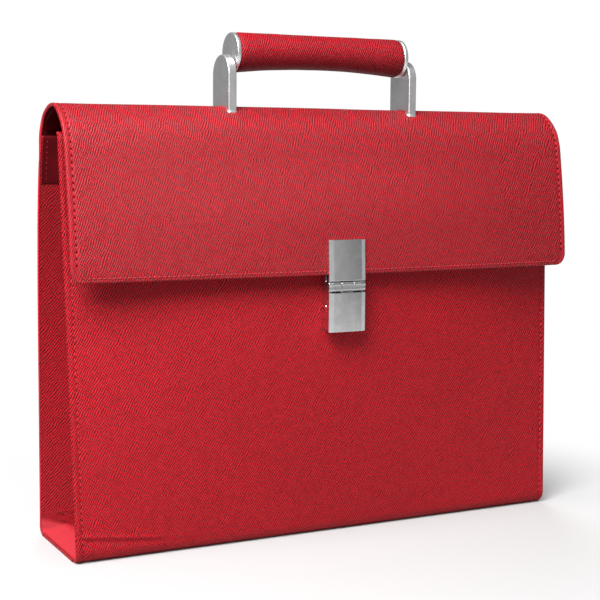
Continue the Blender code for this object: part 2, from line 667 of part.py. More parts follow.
def build_lever(axis):
    plate = lock_plate("lock_lever", LEVER_BOTTOM_Z, LEVER_TOP_Z, 0, lambda z: PLATE_BACK_Y, "steel", axis)
    half = LOCK_WIDTH / 6 - GAP / 2
    add_knuckle(plate, -half, half, LEVER_TOP_Z - 1.5, KNUCKLE_Z - 1.5)
    drill(plate, (-LOCK_WIDTH, KNUCKLE_Y, KNUCKLE_Z), (LOCK_WIDTH, KNUCKLE_Y, KNUCKLE_Z),
          LOCK_PIN_RADIUS + 0.08)
    centre = CROSS_PIN[1]
    rod("lever_armature", (0, PLATE_BACK_Y + 0.1, centre), (0, PLATE_BACK_Y + 0.1 + ARMATURE, centre),
        MAGNET_RADIUS, "dark_steel", axis)


def build_receiver():
    """The channel on the front panel that the lever closes over, with its cross pin."""
    front = PLATE_BACK_Y + GAP
    notch = LOCK_KNUCKLE_RADIUS + 0.4
    low, high = LEVER_BOTTOM_Z + 1.0, HEM_Z - 1.0
    half = LOCK_WIDTH / 2 - 1.0

    def seat(z):
        return front_y(0, z) - GAP - 0.2
    notch_start = math.degrees(math.asin((front - KNUCKLE_Y) / notch)) + 270
    corner = (seat(low) - RECEIVER_CORNER, low + RECEIVER_CORNER)
    outline = [(front, low)] + arc(corner, RECEIVER_CORNER, 270, 360, 6) + [(seat(high), high)]
    outline += [(KNUCKLE_Y + notch, high)] + arc((KNUCKLE_Y, KNUCKLE_Z), notch, 360, notch_start, 8)
    receiver = prism("lock_receiver", outline, -half, half, "steel", bevel=0.25)
    wall = RECEIVER_WALL
    pocket_back = CROSS_PIN[0] + CROSS_PIN_RADIUS + 0.7
    pocket = block("cut_receiver", (wall - half, front - 5, low + wall), (half - wall, pocket_back, high + 5), "steel")
    combine(receiver, pocket, "DIFFERENCE")
    drill(receiver, (-LOCK_WIDTH, *CROSS_PIN), (LOCK_WIDTH, *CROSS_PIN), CROSS_PIN_RADIUS + 0.05)
    rod("receiver_cross_pin", (-half - 0.2, *CROSS_PIN), (half + 0.2, *CROSS_PIN), CROSS_PIN_RADIUS, "steel")
    face = PLATE_BACK_Y + 0.1 + ARMATURE + MAGNET_AIR_GAP
    magnet = rod("receiver_magnet", (0, face, CROSS_PIN[1]), (0, pocket_back - GAP, CROSS_PIN[1]),
                 MAGNET_RADIUS, "dark_steel")
    drill(magnet, (-LOCK_WIDTH, *CROSS_PIN), (LOCK_WIDTH, *CROSS_PIN), CROSS_PIN_RADIUS + 0.05)

    plate_y = front_reach(11, low + 2, high - 4) + INNER_FACE + 2 * GAP
    backplate = block("receiver_backplate", (-11, plate_y, low + 2), (11, plate_y + 1.5, high - 4), "dark_steel")
    layers = [bpy.data.objects[name] for name in ("front_panel", "front_board", "front_lining")]
    for number, z in enumerate(receiver_screw_heights(), 1):
        for layer in (*layers, backplate, receiver):
            drill(layer, (0, pocket_back - 3, z), (0, plate_y + 4, z), SCREW_RADIUS + 0.15)
        screw = rod(f"receiver_screw_{number}", (0, pocket_back - 0.6, z), (0, plate_y + 2, z), SCREW_RADIUS,
                    "dark_steel", segments=24)
        combine(screw, rod(f"receiver_screw_{number}_head", (0, pocket_back - 1.5, z),
                           (0, pocket_back - GAP, z), 2.6, "dark_steel", segments=24), "UNION")


# ------------------------------------------------------------------ build
def main():
    build_case()
    build_receiver()
    flap_axis = metres(0, BACK_TOP_Y, CROWN_BASE_Z)
    build_flap(flap_axis)
    for side, label in ((-1, "left"), (1, "right")):
        build_post(side, label, flap_axis)
    build_lock_on_flap(flap_axis)
    build_lever(metres(0, KNUCKLE_Y, KNUCKLE_Z))
    build_handle(metres(0, CROWN_Y, PIVOT_Z))


for old in list(bpy.data.objects):
    bpy.data.objects.remove(old, do_unlink=True)
PARTS = new_collection("leather_briefcase")
HELPERS = new_collection("helpers")
main()
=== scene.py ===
"""The finished leather briefcase: embossed leather, stitching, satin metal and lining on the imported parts.

Sizes are millimetres measured from the middle of the base, with the front towards -Y; at() turns them
into the frame's metres.
"""
import math

import bmesh
import bpy
from mathutils import Matrix, Vector, noise


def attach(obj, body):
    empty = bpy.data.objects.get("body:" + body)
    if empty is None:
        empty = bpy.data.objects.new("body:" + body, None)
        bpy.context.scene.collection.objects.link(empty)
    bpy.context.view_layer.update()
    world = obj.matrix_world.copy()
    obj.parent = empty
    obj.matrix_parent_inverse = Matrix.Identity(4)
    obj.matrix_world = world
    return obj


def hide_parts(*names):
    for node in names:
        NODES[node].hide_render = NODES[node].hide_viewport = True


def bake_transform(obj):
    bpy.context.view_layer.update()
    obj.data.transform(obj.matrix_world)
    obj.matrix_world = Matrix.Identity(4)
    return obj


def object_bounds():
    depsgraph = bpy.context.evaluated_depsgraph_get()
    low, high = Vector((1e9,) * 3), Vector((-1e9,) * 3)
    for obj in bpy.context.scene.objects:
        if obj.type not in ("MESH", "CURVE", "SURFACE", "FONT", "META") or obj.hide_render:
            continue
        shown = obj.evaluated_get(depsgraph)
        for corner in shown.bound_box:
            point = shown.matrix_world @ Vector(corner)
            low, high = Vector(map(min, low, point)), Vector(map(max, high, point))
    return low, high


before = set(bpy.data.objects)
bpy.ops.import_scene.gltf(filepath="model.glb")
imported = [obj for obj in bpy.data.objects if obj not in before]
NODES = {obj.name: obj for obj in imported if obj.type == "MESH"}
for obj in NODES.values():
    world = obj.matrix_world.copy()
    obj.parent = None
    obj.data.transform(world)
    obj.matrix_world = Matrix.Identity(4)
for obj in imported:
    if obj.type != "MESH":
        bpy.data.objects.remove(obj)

CAD_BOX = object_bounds()

# ------------------------------------------------------------------ sizes, mm
HALF_BASE = 195.0
SPREAD = 5.2                  # each side leans out this far over the panels' height
PANEL_HEIGHT = 292.0
HALF_DEPTH = 43.8
FRONT_LEAN = 15.8
BACK_LEAN = 31.1
FRONT_BELLY = 19.0
BACK_BELLY = 6.0
FRONT_ROLL = 9.0
BACK_ROLL = 6.0
BEND_Z = 291.0                # the back's lean is reckoned up to this height, and the flap falls from here
HEM_Z = 193.0
FLAP_HALF = 201.1
FLAP_CORNER = 9.0
FLAP_TOP_Y = -44.2
FLAP_SPLAY = 11.3
FLAP_BELLY = 8.4
SHELL = 2.2
FLAP_SHELL = 2.0
SEAM_SPAN = 198.0             # half the leather's width, which the side seams' insets are a share of
SEAM_INSET = 5.0              # the front's stitch rows run this far inside its sides
FLAP_INSET = 4.6              # and the flap's and the back's this far
HEM_INSET = 3.2
STITCH_PITCH = 4.4
MARGIN = 6.2                  # the smoother strip along the flap's sides
# the leather's outer line in (y, z), from high on the back over the crown to the flap's face
CROWN = ((17.7, 271), (15.2, 284), (12.9, 290), (9.6, 296), (5.3, 302.4), (-1.0, 307.2), (-8.5, 310.2),
         (-17.0, 311.2), (-25.0, 309.6), (-32.4, 304.9), (-38.4, 299.0), (-42.0, 293.6), (-44.4, 287.0))
FLAP_DROP = CROWN[-1][1] - HEM_Z

SHIFT_Y = CAD_BOX[1][1] * 1000 - HALF_DEPTH


def at(x, y, z):
    return Vector((x, y + SHIFT_Y, z)) / 1000


# ------------------------------------------------------------------ shader maths
class Wire:
    """A shader value that adds its own Math nodes when it is used in an expression."""

    def __init__(self, tree, socket):
        self.tree, self.socket = tree, socket

    def maths(self, operation, *others):
        step = self.tree.nodes.new("ShaderNodeMath")
        step.operation = operation
        for slot, value in zip(step.inputs, others):
            join(self.tree, slot, value)
        return Wire(self.tree, step.outputs[0])

    def __add__(self, other):
        return self.maths("ADD", self, other)

    def __sub__(self, other):
        return self.maths("SUBTRACT", self, other)

    def __mul__(self, other):
        return self.maths("MULTIPLY", self, other)

    def __truediv__(self, other):
        return self.maths("DIVIDE", self, other)

    def __pow__(self, other):
        return self.maths("POWER", self, other)

    def __rsub__(self, other):
        return self.maths("SUBTRACT", other, self)

    def wave(self):
        """0 to 1 and back, once for each whole number."""
        return self.maths("COSINE", self * math.tau) * 0.5 + 0.5

    def between(self, low, high):
        """0 below low, 1 above high, smooth between."""
        step = self.tree.nodes.new("ShaderNodeMapRange")
        step.interpolation_type = "SMOOTHSTEP"
        for slot, value in zip(step.inputs, (self, low, high, 0.0, 1.0)):
            join(self.tree, slot, value)
        return Wire(self.tree, step.outputs[0])

    __radd__, __rmul__ = __add__, __mul__


def join(tree, slot, value):
    if isinstance(value, Wire):
        tree.links.new(value.socket, slot)
    else:
        slot.default_value = value


class Graph:
    """A node tree that is added to one node at a time."""

    def __init__(self, tree):
        self.tree = tree

    def node(self, kind, settings, output=0, **values):
        """Any node but the maths: its settings first, then its sockets' values or wires."""
        made = self.tree.nodes.new("ShaderNode" + kind)
        for name, value in settings.items():
            if name == "stops":
                set_stops(made.color_ramp.elements, value)
            else:
                setattr(made, name, value)
        for name, value in values.items():
            slot = made.inputs[int(name[1:])] if name[0] == "_" else made.inputs[name.replace("_", " ")]
            join(self.tree, slot, value)
        return Wire(self.tree, made.outputs[output])

    def mix(self, share, first, second):
        """Blend two colours; a plain colour is a tuple of three."""
        first, second = ((*value, 1.0) if isinstance(value, tuple) else value for value in (first, second))
        return self.node("Mix", {"data_type": "RGBA"}, output=2, _0=share, _6=first, _7=second)


def set_stops(stops, levels):
    """A ramp of greys from (place, level) pairs; a new ramp already has two stops."""
    for number, (place, level) in enumerate(levels):
        stop = stops[number] if number < 2 else stops.new(0.5)
        stop.position = place
        stop.color = (level, level, level, 1.0)


class Finish(Graph):
    """One material: a Principled shader and whatever feeds it."""

    def __init__(self, name, colour, roughness, metallic=0.0, **constants):
        self.material = bpy.data.materials.new(name)
        self.material.use_nodes = True
        super().__init__(self.material.node_tree)
        self.shader = self.tree.nodes["Principled BSDF"]
        self.feed(**{"Base Color": (*colour, 1.0), "Roughness": roughness, "Metallic": metallic})
        self.feed(**constants)
        self.material.diffuse_color = (*colour, 1.0)

    def feed(self, **values):
        for name, value in values.items():
            join(self.tree, self.shader.inputs[name], value)

    def place(self, worn=True):
        """Surface coordinates in mm: a piece's own flat pattern, or its place at rest."""
        source = self.node("TexCoord", {}, output="UV" if worn else "Object")
        return self.node("VectorMath", {"operation": "SCALE"}, _0=source, Scale=1000.0)

    def split(self, vector):
        return [self.node("SeparateXYZ", {}, output=i, _0=vector) for i in range(3)]

    def cloud(self, vector, scale, detail=2.0, rough=0.5):
        return self.node("TexNoise", {}, output="Fac", Vector=vector, Scale=scale, Detail=detail,
                         Roughness=rough)

    def relief(self, height, depth_mm, strength=1.0):
        """Bump whose height socket runs from 0 to 1."""
        return self.node("Bump", {}, Height=height, Distance=depth_mm / 1000, Strength=strength)


# ------------------------------------------------------------------ finishes
def grained_leather(name, ridge, groove, steep=58.0, across=-38.0, pitch=1.7, worn=True, rough=0.46,
                    stretch=0.0, smooth_below=None, gloss=0.16, margin=None, painted_shade=None):
    """Boarded grain: fine straight ridges one way, cut into dashes and here and there crossed by others.

    stretch opens the grain out towards one side; below the height smooth_below it is pressed flat, and its
    colour is lifted lighter and pinker there, a painted sheen on the upward facing foot; margin is how far
    out the smoother strip along a stitched side starts. The last argument gives two heights and a share: from
    the first to the second the skin darkens by that share, painted shade.
    """
    skin = Finish(name, ridge, rough, **{"Specular IOR Level": gloss})
    place = skin.place(worn)
    x, y, z = skin.split(place)
    along, up = (x, y) if worn else (x + y, z)
    drift = skin.cloud(place, 0.09, 2.0) - 0.5
    fine = skin.cloud(place, 1.2, 2.0) - 0.5

    def ridges(angle, gap, wobble):
        s, c = math.sin(math.radians(angle)), math.cos(math.radians(angle))
        across_ridges = along * s - up * c - along * along * (stretch * s / 2)
        return (across_ridges / gap + drift * wobble + fine * 0.8).wave()

    main = ridges(steep, pitch, 2.4)
    cross = ridges(across, pitch * 0.95, 1.6)
    patch = skin.cloud(place, 0.16, 2.0).between(0.46, 0.64)
    pebble = skin.cloud(place, 0.75, 3.0, 0.65)
    grain = main * (0.70 - patch * 0.34) + cross * (0.18 + patch * 0.32) + pebble * 0.44 - 0.22
    height = skin.split(skin.place(False))[2] if smooth_below or painted_shade else None
    if smooth_below:
        flat = 1.0 - height.between(smooth_below - 1.5, smooth_below + 3.5)
        grain = grain * (1.0 - flat * 0.72) + flat * 0.62
    if margin:
        pressed = (along.maths("ABSOLUTE", along) - margin).between(-0.8, 0.8) * 0.45
        grain = grain * (1.0 - pressed) + pressed * 0.56
    shade = grain.between(0.16, 0.80)
    tone = skin.cloud(place, 0.012, 2.0).between(0.3, 0.7)
    warm = tuple(channel * 0.92 for channel in ridge)
    colour = skin.mix(shade, groove, skin.mix(tone, warm, ridge))
    # painted sheen: the pressed-flat foot is mixed towards a lighter, pinker colour
    if smooth_below:
        colour = skin.mix(flat * 0.6, colour, PRESSED_FLAT_SHEEN)
    # painted shade: between the two heights the colour darkens towards the groove's
    if painted_shade:
        colour = skin.mix(height.between(painted_shade[0], painted_shade[1]) * painted_shade[2], colour, groove)
    skin.feed(**{"Base Color": colour,
                 "Roughness": rough + 0.14 - shade * 0.16,
                 "Normal": skin.relief(grain, 0.42, 0.9)})
    return skin.material


def smooth_leather(name, colour, rough=0.45, gloss=0.15):
    skin = Finish(name, colour, rough, **{"Specular IOR Level": gloss})
    place = skin.place(False)
    pores = skin.cloud(place, 1.6, 4.0, 0.65)
    tone = skin.cloud(place, 0.06, 2.0)
    dark = tuple(channel * 0.78 for channel in colour)
    skin.feed(**{"Base Color": skin.mix(tone.between(0.35, 0.65), dark, colour),
                 "Normal": skin.relief(pores, 0.08, 0.6)})
    return skin.material


def woven_lining(name, colour):
    cloth = Finish(name, colour, 0.85, **{"Specular IOR Level": 0.05})
    x, y, z = cloth.split(cloth.place(False))
    twill = ((x + z + y * 0.3) / 0.8).wave() * ((x - z) / 1.6).wave()
    tone = cloth.cloud(cloth.place(False), 0.05, 2.0)
    dark = tuple(channel * 0.6 for channel in colour)
    cloth.feed(**{"Base Color": cloth.mix(twill * 0.7 + tone * 0.3, dark, colour),
                  "Normal": cloth.relief(twill, 0.15, 0.6)})
    return cloth.material


def satin_metal(name, colour, rough, brushed=(1.0, 1.0, 0.02), depth=0.006):
    """Nickel with a fine brushed grain; brushed gives how tight the lines are along X, Y and Z."""
    metal = Finish(name, colour, rough, 1.0)
    place = metal.place(False)
    stretched = metal.node("VectorMath", {"operation": "MULTIPLY"}, _0=place, _1=brushed)
    lines = metal.cloud(stretched, 1.6, 3.0, 0.6)
    smear = metal.cloud(place, 0.12, 3.0)
    dull = tuple(channel * 0.93 for channel in colour)
    metal.feed(**{"Base Color": metal.mix(smear.between(0.35, 0.7), dull, colour),
                  "Roughness": rough + lines * 0.08 + smear * 0.05 - 0.065,
                  "Normal": metal.relief(lines, depth, 0.5)})
    return metal.material


def plain_board(name, colour):
    board = Finish(name, colour, 0.9)
    place = board.place(False)
    fibres = board.cloud(place, 0.9, 5.0, 0.7)
    dark = tuple(channel * 0.6 for channel in colour)
    board.feed(**{"Base Color": board.mix(fibres, dark, colour), "Normal": board.relief(fibres, 0.2, 0.5)})
    return board.material


def twisted_thread(name, colour):
    thread = Finish(name, colour, 0.55, **{"Specular IOR Level": 0.35})
    x, y, z = thread.split(thread.place(False))
    twist = ((x + y + z) / 0.35).wave()
    dark = tuple(channel * 0.55 for channel in colour)
    thread.feed(**{"Base Color": thread.mix(twist, dark, colour), "Normal": thread.relief(twist, 0.1, 0.7)})
    return thread.material


# the front's and bottom's ridge colour, lighter than the flap's, gussets' and grip's ridge colours of the
# same leather: painted light on the front
LIT_RED_RIDGE = (0.52, 0.0080, 0.0180)
RED_GROOVE = (0.066, 0.0004, 0.0014)
PRESSED_FLAT_SHEEN = (0.36, 0.035, 0.045)  # leather whose grain is pressed flat, painted lighter and pinker: a painted sheen where the gusset's foot faces up
LEATHER = grained_leather("grained_leather", LIT_RED_RIDGE, RED_GROOVE, stretch=0.0008)
FLAP_LEATHER = grained_leather("flap_grain_leather", (0.42, 0.0090, 0.0190), RED_GROOVE, steep=65.0,
                               stretch=-0.0008, gloss=0.26, margin=FLAP_HALF - MARGIN)
# the gusset darkens towards its top, painted shade under the crown and flap; its flat foot takes a painted
# sheen
GUSSET_LEATHER = grained_leather("gusset_leather", (0.40, 0.0062, 0.0140), (0.05, 0.0004, 0.0012), steep=45.0,
                                 across=-45.0, pitch=1.8, smooth_below=10.5, gloss=0.10,
                                 painted_shade=(80.0, 250.0, 0.42))
# the grip darkens towards its underside: painted shade
GRIP_LEATHER = grained_leather("grip_leather", (0.42, 0.0090, 0.0190), (0.070, 0.0006, 0.0020), steep=62.0,
                               across=-52.0, pitch=1.5, gloss=0.15, painted_shade=(352.0, 337.0, 0.75))
BASE_LEATHER = grained_leather("base_leather", LIT_RED_RIDGE, RED_GROOVE, worn=False)
# near black: painted shade on the stay patches high on the gussets under the crown; it also lines the grip
# wrap's inside
SHADED_STAY_LEATHER = smooth_leather("stay_leather_painted_shade", (0.052, 0.0007, 0.0020), 0.70, 0.04)
FLAP_LINING = smooth_leather("flap_lining_leather", (0.036, 0.0004, 0.0010), 0.75, 0.03)
EDGE_PAINT = smooth_leather("edge_paint", (0.45, 0.018, 0.030), 0.45)
LINING = woven_lining("lining_twill", (0.06, 0.002, 0.004))
POST_METAL = satin_metal("satin_nickel", (0.80, 0.80, 0.81), 0.38, (0.05, 1.0, 0.6), 0.003)
PLATE_METAL = satin_metal("brushed_nickel", (0.84, 0.84, 0.85), 0.20, (1.0, 0.3, 0.02), 0.002)
BAND_METAL = satin_metal("reeded_nickel", (0.58, 0.58, 0.59), 0.26, (1.0, 0.3, 0.02), 0.002)
BRIGHT_METAL = satin_metal("polished_nickel", (0.80, 0.80, 0.81), 0.16, (0.6, 0.6, 0.6), 0.001)
DARK_METAL = satin_metal("zinc_steel", (0.30, 0.30, 0.32), 0.38)
BOARD = plain_board("fibre_board", (0.055, 0.022, 0.018))
CORE = plain_board("turned_core", (0.38, 0.22, 0.11))
THREAD = twisted_thread("red_thread", (0.52, 0.030, 0.042))
# near-black discs at each needle hole: the holes' shade, painted
HOLE_SHADE = smooth_leather("needle_hole", (0.06, 0.0007, 0.0016), 0.8, 0.03)
WASHER = smooth_leather("black_acetal", (0.02, 0.02, 0.02), 0.5)


# ------------------------------------------------------------------ surfaces of the leather
def clamp(value, low=0.0, high=1.0):
    return max(low, min(high, value))


def smooth(value):
    value = clamp(value)
    return value * value * (3 - 2 * value)


def half_width(z):
    return HALF_BASE + SPREAD * z / PANEL_HEIGHT


def front_y(x, z):
    rise = max(z - FRONT_ROLL, 0.0) / (PANEL_HEIGHT - FRONT_ROLL)
    across = max(1 - (x / half_width(z)) ** 2, 0.0)
    return -HALF_DEPTH + FRONT_LEAN * rise - FRONT_BELLY * across * math.sin(0.86 * math.pi * rise)


def back_y(x, z):
    share = z / BEND_Z
    belly = BACK_BELLY * max(1 - (x / half_width(z)) ** 2, 0.0) * math.sin(math.pi * min(share, 1.0))
    return HALF_DEPTH - BACK_LEAN * (0.65 * share + 0.35 * share ** 7) + belly


def flap_y(x, z):
    fall = clamp((BEND_Z - z) / (BEND_Z - HEM_Z))
    across = 1 - (x / FLAP_HALF) ** 2
    belly = FLAP_BELLY * across * math.sin(math.pi / 2 * min(fall / 0.65, 1.0)) ** 2
    return FLAP_TOP_Y - FLAP_SPLAY * (1 - (1 - fall) ** 1.5) - belly


def along_curve(points, share):
    """A point on a smooth curve through points, share running from 0 to 1."""
    spans = len(points) - 1
    i = min(int(share * spans), spans - 1)
    t = share * spans - i
    a, b, c, d = (Vector(points[clamp(i + k, 0, spans)]) for k in (-1, 0, 1, 2))
    return 0.5 * (2 * b + (c - a) * t + (2 * a - 5 * b + 4 * c - d) * t ** 2
                  + (3 * b - a - 3 * c + d) * t ** 3)


def spaced(low, high, count):
    return [low + (high - low) * i / (count - 1) for i in range(count)]


def across_lines(edge=12.0, fine=14, coarse=76):
    """Where a panel's columns run, -1 to 1: close together at both edges for the seams."""
    near = [-1 + (edge / 200) * i / fine for i in range(fine)]
    middle = spaced(-1 + edge / 200, 1 - edge / 200, coarse)
    return near + middle + [-value for value in reversed(near)]


# ------------------------------------------------------------------ making meshes
def mesh_object(name, bm, *materials):
    mesh = bpy.data.meshes.new(name)
    bm.to_mesh(mesh)
    bm.free()
    obj = bpy.data.objects.new(name, mesh)
    bpy.context.scene.collection.objects.link(obj)
    for material in materials:
        mesh.materials.append(material)
    return obj


def settle(obj):
    """Apply the modifiers, so that what rides on a body is the final mesh."""
    graph = bpy.context.evaluated_depsgraph_get()
    final = bpy.data.meshes.new_from_object(obj.evaluated_get(graph))
    old, obj.data = obj.data, final
    obj.modifiers.clear()
    bpy.data.meshes.remove(old)
    return obj


def soften(obj):
    obj.data.shade_smooth()
    return obj


def skin(name, stations, columns, place, materials, thickness, relief=None, sink=0.0):
    """A leather sheet. place(u, station) gives a point in mm; the flat pattern becomes its UV map.

    materials are the grain side's, the inside's and, where it differs, the cut edge's. relief gives how
    far each point is lifted, from its distances to the four edges; sink lowers them all.
    """
    bm = bmesh.new()
    bmesh.ops.create_grid(bm, x_segments=len(columns) - 1, y_segments=len(stations) - 1, size=0.5)
    spots = {}
    for vert in bm.verts:
        i = round((vert.co.x + 0.5) * (len(columns) - 1))
        j = round((vert.co.y + 0.5) * (len(stations) - 1))
        spots[vert] = (i, j)
        vert.co = at(*place(columns[i], stations[j]))
    grid = {spot: vert for vert, spot in spots.items()}
    middle = len(columns) // 2
    length = [0.0]
    for j in range(1, len(stations)):
        length.append(length[-1] + (grid[middle, j].co - grid[middle, j - 1].co).length * 1000)
    widths = {}
    for j in range(len(stations)):
        widths[j] = [0.0]
        for i in range(1, len(columns)):
            widths[j].append(widths[j][-1] + (grid[i, j].co - grid[i - 1, j].co).length * 1000)
    bm.normal_update()
    pattern = bm.loops.layers.uv.new("flat")
    for face in bm.faces:
        face.smooth = True
        for loop in face.loops:
            i, j = spots[loop.vert]
            loop[pattern].uv = ((widths[j][i] - widths[j][-1] / 2) / 1000, length[j] / 1000)
    moves = {}
    for vert, (i, j) in spots.items():
        lift = -sink
        if relief:
            left, low = widths[j][i], length[j]
            lift += relief(left, widths[j][-1] - left, low, length[-1] - low, vert)
        moves[vert] = vert.normal * lift / 1000
    for vert, move in moves.items():
        vert.co += move
    obj = mesh_object(name, bm, *materials)
    body = obj.modifiers.new("thickness", "SOLIDIFY")
    body.thickness = thickness / 1000
    body.offset = -1
    body.material_offset = 1
    body.material_offset_rim = len(materials) - 1
    return obj


def rounded_edge(distance, radius=1.6):
    """How far a turned edge drops as it rolls over."""
    if distance >= radius:
        return 0.0
    return -radius * 0.8 * (1 - math.sqrt(max(1 - (1 - distance / radius) ** 2, 0.0)))


def seam_dip(distance, inset=SEAM_INSET, depth=0.38, width=1.5):
    """The groove that a stitch row pulls into the leather."""
    return -depth * math.exp(-((distance - inset) / width) ** 2)


def puff(distance, inset=SEAM_INSET, height=0.30):
    """The margin outside a seam stands a little proud."""
    return height * math.sin(math.pi * clamp(distance / inset)) if distance < inset else 0.0


# ------------------------------------------------------------------ stitches
class Stitching:
    """Collects threads and needle holes, dark discs of painted shade, then makes one mesh of each for the
    body they ride on.
    """

    def __init__(self, name):
        self.name = name
        self.threads, self.holes = bmesh.new(), bmesh.new()

    def bead(self, bm, centre, run, out, size):
        side = out.cross(run).normalized()
        out = run.cross(side).normalized()
        turn = Matrix((run, side, out)).transposed().to_4x4()
        scale = Matrix.Diagonal((*(s / 1000 for s in size), 1.0))
        bmesh.ops.create_uvsphere(bm, u_segments=8, v_segments=5, radius=1.0,
                                  matrix=Matrix.Translation(centre) @ turn @ scale)

    def row(self, path, pitch=STITCH_PITCH, radius=0.36, holes=1.0, reach=0.29):
        """path gives (point, normal) pairs in the frame's metres, closer together than the pitch.

        holes is the needle holes' size, dark discs that paint the holes' shade, and 0 leaves them out. reach
        is half a thread's length, as a share of the pitch.
        """
        points = [p for p, _ in path]
        gone = [0.0]
        for a, b in zip(points, points[1:]):
            gone.append(gone[-1] + (b - a).length)
        count = max(int(gone[-1] / (pitch / 1000)), 1)
        step = gone[-1] / count
        k = 0
        for number in range(count + 1):
            want = min(number * step, gone[-1])
            while k < len(gone) - 2 and gone[k + 1] < want:
                k += 1
            t = (want - gone[k]) / max(gone[k + 1] - gone[k], 1e-9)
            here = points[k].lerp(points[k + 1], t)
            run = (points[k + 1] - points[k]).normalized()
            out = path[k][1].lerp(path[k + 1][1], t).normalized()
            if holes:
                size = (0.75 * holes, 0.60 * holes, 0.18)
                self.bead(self.holes, here + out * 0.00002, run, out, size)
            if number < count:
                middle = here + run * step / 2 + out * 0.00012
                self.bead(self.threads, middle, run, out, (pitch * reach, radius, radius))

    def finish(self, body):
        for bm, label, material in ((self.threads, "stitches", THREAD), (self.holes, "needle_holes", HOLE_SHADE)):
            if not bm.verts:
                bm.free()
                continue
            obj = soften(mesh_object(f"{self.name}_{label}", bm, material))
            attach(obj, body)


def traced(place, spots, lift=0.0):
    """A path over a surface: points and outward normals at (u, station) spots."""
    path = []
    for u, s in spots:
        here = at(*place(u, s))
        wide = at(*place(u + 0.002, s)) - here
        high = at(*place(u, nudge(s))) - here
        out = wide.cross(high).normalized()
        path.append((here + out * lift / 1000, out))
    return path


def nudge(station):
    return (station[0], station[1] + 0.01)


# ------------------------------------------------------------------ the case's leather
def front_place(u, station):
    """u runs -1 to 1 across the panel, and a station is a part of it with the share of the way up."""
    part, t = station
    if part == "roll":
        angle = t * math.pi / 2
        z = FRONT_ROLL * (1 - math.cos(angle))
        return u * half_width(z), -HALF_DEPTH + FRONT_ROLL * (1 - math.sin(angle)), z
    z = FRONT_ROLL + (PANEL_HEIGHT - FRONT_ROLL) * t
    x = u * half_width(z)
    return x, front_y(x, z), z


CREASE_Z = 19.0               # a crease starts here at the front's lower left corner
CREASE_FALL = 0.11            # and drops this much for each mm along


def front_relief(left, right, low, high, vert):
    edge = min(left, right)
    lift = rounded_edge(edge) + puff(edge) + seam_dip(edge) + rounded_edge(high, 1.4)
    x, z = vert.co.x * 1000, vert.co.z * 1000
    crease_z = CREASE_Z - CREASE_FALL * (x + HALF_BASE - SEAM_INSET)
    fade = smooth((x + 193) / 6) * (1 - smooth((x + 150) / 45))
    lift += fade * 0.85 * math.exp(-((z - crease_z) / 1.3) ** 2)
    lift -= fade * 0.60 * math.exp(-((z - crease_z + 3.0) / 1.8) ** 2)
    wave = noise.noise(Vector((x / 90, z / 70, 3.1)))
    return lift + 0.35 * wave * smooth(edge / 30)


def make_front():
    rows = spaced(0, 0.08, 30)[1:] + spaced(0.08, 1, 78)[1:]
    stations = [("roll", t) for t in spaced(0, 1, 9)] + [("up", t) for t in rows]
    piece = skin("front_leather", stations, across_lines(), front_place,
                 (LEATHER, LINING, EDGE_PAINT), SHELL, front_relief)
    settle(piece)
    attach(piece, "case")
    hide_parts("front_panel")
    stitches = Stitching("front")
    for side in (-1, 1):
        edge = side * (1 - SEAM_INSET / SEAM_SPAN)
        spots = [(edge, ("up", t)) for t in spaced(0.0, 0.985, 120)]
        stitches.row(traced(front_place, spots, -0.3), radius=0.30, holes=0.62)
    stitches.finish("case")


def back_place(u, station):
    """As front_place, from the back's foot over the crown and down the flap to its hem."""
    part, t = station
    if part == "roll":
        angle = t * math.pi / 2
        z = BACK_ROLL * (1 - math.cos(angle))
        return -u * half_width(z), HALF_DEPTH - BACK_ROLL * (1 - math.sin(angle)), z
    if part == "back":
        z = BACK_ROLL + (CROWN[0][1] - BACK_ROLL) * t
        x = u * half_width(z)
        return -x, back_y(x, z), z
    if part == "crown":
        y, z = along_curve(CROWN, t)
        half = half_width(z) + (FLAP_HALF - half_width(z)) * smooth(t * 4)
        lean = back_y(u * half, z) - back_y(half, z)
        return -u * half, y + lean * (1 - smooth(t * 8)), z
    z = CROWN[-1][1] + (HEM_Z - CROWN[-1][1]) * t
    half = FLAP_HALF
    above = z - HEM_Z
    if above < FLAP_CORNER:
        half += math.sqrt(max(FLAP_CORNER ** 2 - (FLAP_CORNER - above) ** 2, 0.0)) - FLAP_CORNER
    x = u * half
    return -x, flap_y(x, z), z


def flap_relief(left, right, low, high, vert):
    edge = min(left, right)
    lift = rounded_edge(edge) + puff(edge, FLAP_INSET, 0.2) + seam_dip(edge, FLAP_INSET)
    lift += rounded_edge(high, 1.4) + rounded_edge(low, 1.2) + seam_dip(high, HEM_INSET, 0.22, 1.0)
    x, z = vert.co.x * 1000, vert.co.z * 1000
    wave = noise.noise(Vector((x / 80, z / 60, 7.7 + vert.co.y * 9)))
    return lift + 0.30 * wave * smooth(edge / 30)


def hem_lines():
    """Stations down the flap, close together where its corners round off."""
    coarse = spaced(0, 1 - FLAP_CORNER / FLAP_DROP, 30)
    corner = [1 - FLAP_CORNER / FLAP_DROP * math.cos(math.pi / 2 * k / 10) for k in range(1, 10)]
    return coarse + corner + [1 - gap / FLAP_DROP for gap in (1.1, 0.8, 0.5, 0.25, 0.1, 0.0)]


